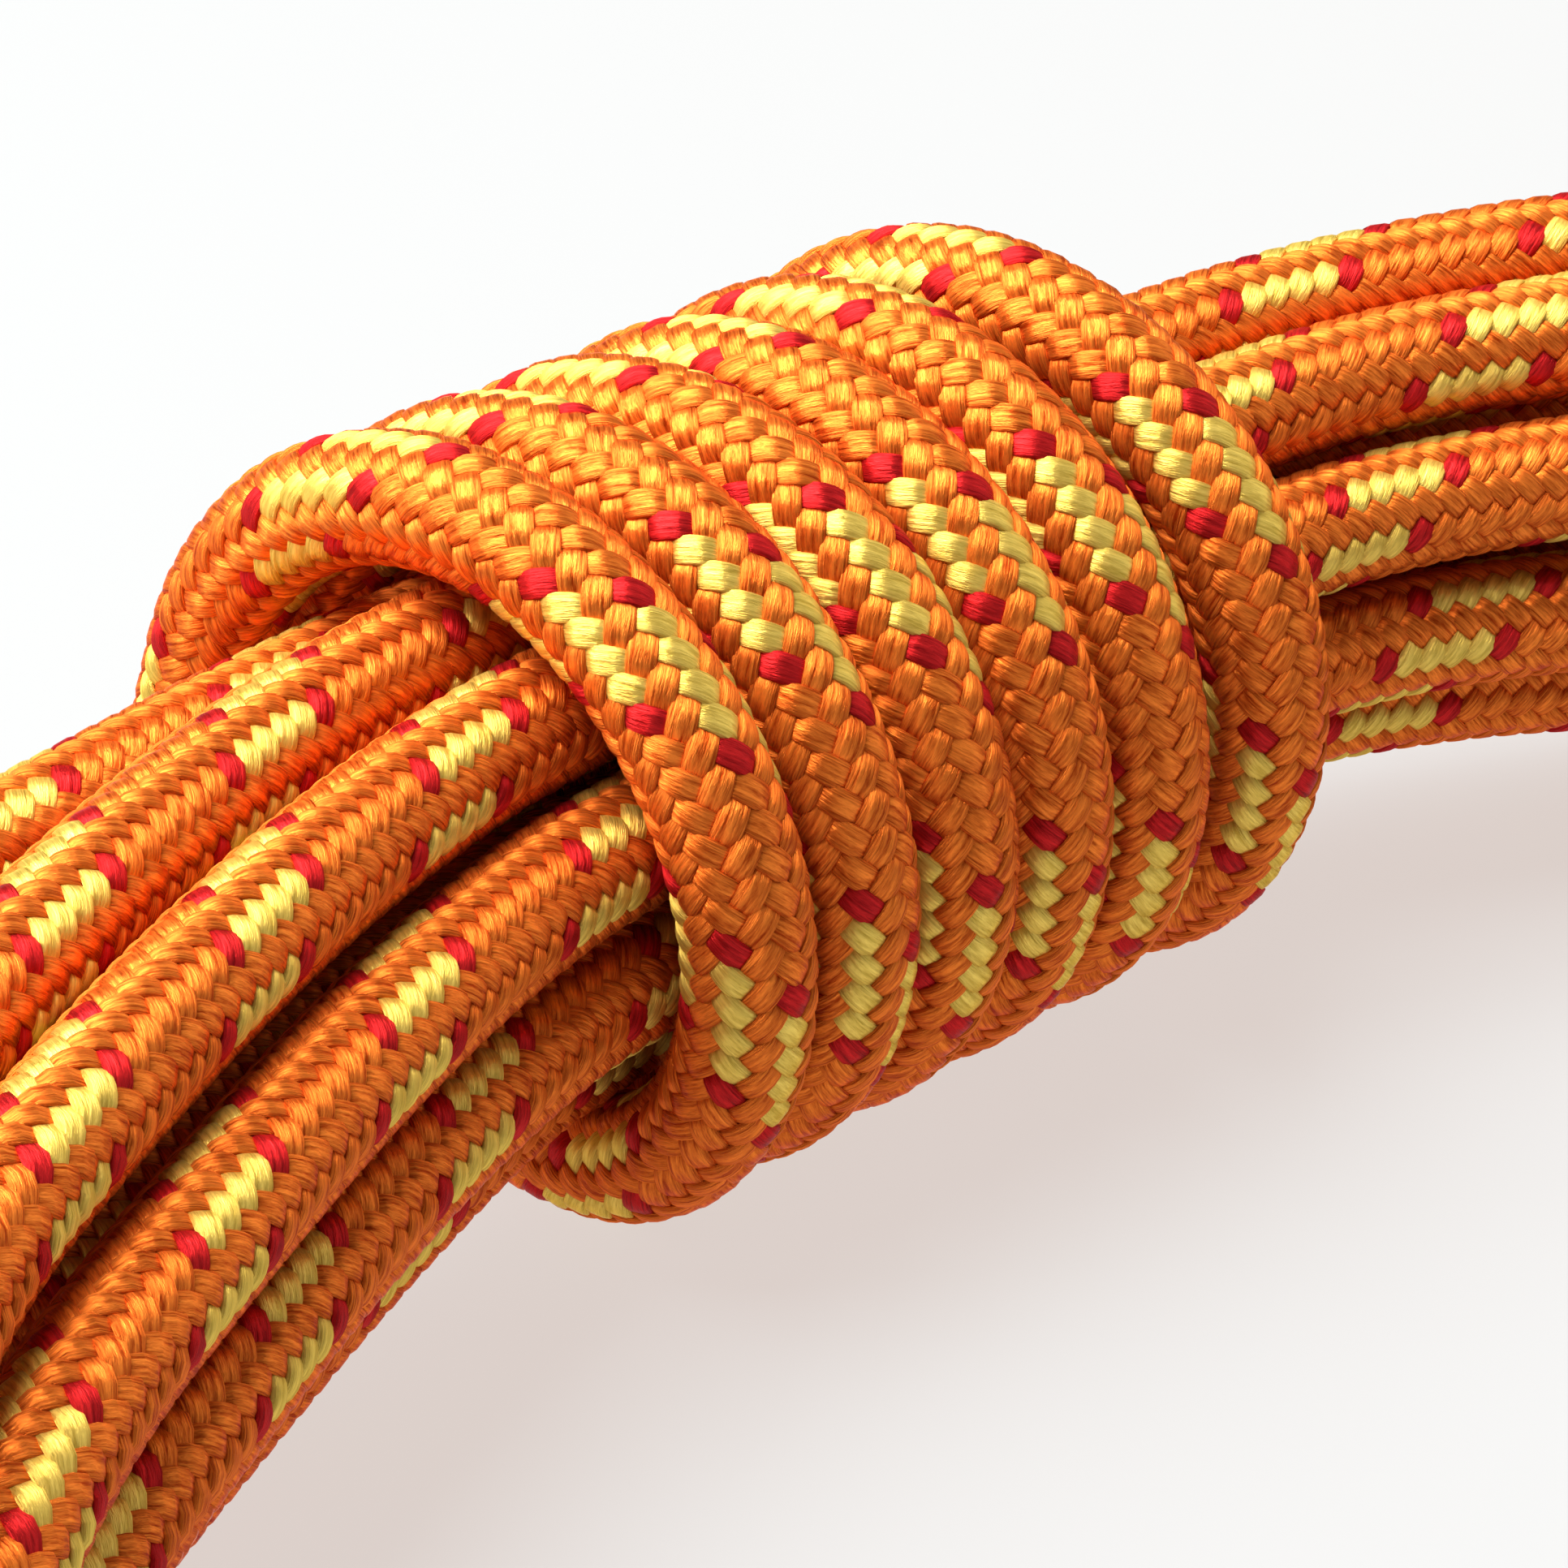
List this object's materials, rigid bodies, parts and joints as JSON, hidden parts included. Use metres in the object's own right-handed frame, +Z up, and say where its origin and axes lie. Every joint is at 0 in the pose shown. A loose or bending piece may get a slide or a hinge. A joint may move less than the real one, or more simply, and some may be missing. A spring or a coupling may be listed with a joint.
{
  "type": "dynamic climbing rope",
  "caption": "Kernmantle dynamic climbing rope stored as a hank: strands folded between end loops and gathered by wraps of its own finishing end.",
  "frame": {"origin": "middle of the hank's footprint on the surface that it lies on", "axes": "+X along the hank from the loops where the rope starts towards the loops at its other end, +Z up, -Y towards the inside of the hank's bend"},
  "size_m": [0.5102, 0.1748, 0.0626],
  "materials": {
    "sheath": "braided polyamide sheath, orange yarns with yellow and red tracer yarns, soft sheen along the fibres",
    "core": "undyed polyamide core yarn, matt",
    "marker_thread": "blue marker thread laid in with the core",
    "end_sleeve": "clear heat-shrink sleeve, satin",
    "end_label": "plain paper label under the sleeve, left blank",
    "fused_tip": "melted polyamide, darkened and glossy"
  },
  "bodies": {
    "root": {"sheath_strand_01": "sheath", "sheath_strand_02": "sheath", "sheath_strand_03": "sheath", "sheath_strand_04": "sheath", "sheath_strand_05": "sheath", "sheath_strand_06": "sheath", "sheath_strand_07": "sheath", "sheath_strand_08": "sheath", "sheath_strand_09": "sheath", "sheath_strand_10": "sheath", "sheath_strand_11": "sheath", "sheath_strand_12": "sheath", "sheath_left_loop_1": "sheath", "sheath_left_loop_2": "sheath", "sheath_left_loop_3": "sheath", "sheath_left_loop_4": "sheath", "sheath_left_loop_5": "sheath", "sheath_left_loop_6": "sheath", "sheath_right_loop_1": "sheath", "sheath_right_loop_2": "sheath", "sheath_right_loop_3": "sheath", "sheath_right_loop_4": "sheath", "sheath_right_loop_5": "sheath", "sheath_right_loop_6": "sheath", "sheath_wrap_turn_1": "sheath", "sheath_wrap_turn_2": "sheath", "sheath_wrap_turn_3": "sheath", "sheath_wrap_turn_4": "sheath", "sheath_wrap_turn_5": "sheath", "sheath_wrap_turn_6": "sheath", "sheath_lead_in": "sheath", "sheath_finishing_tail": "sheath", "core_strand_1": "core", "core_strand_2": "core", "core_strand_3": "core", "core_strand_4": "core", "core_strand_5": "core", "core_strand_6": "core", "core_strand_7": "core", "marker_thread": "marker_thread", "end_sleeve_start": "end_sleeve", "end_label_start": "end_label", "fused_tip_start": "fused_tip", "end_sleeve_finish": "end_sleeve", "end_label_finish": "end_label", "fused_tip_finish": "fused_tip"}
  },
  "joints": []
}
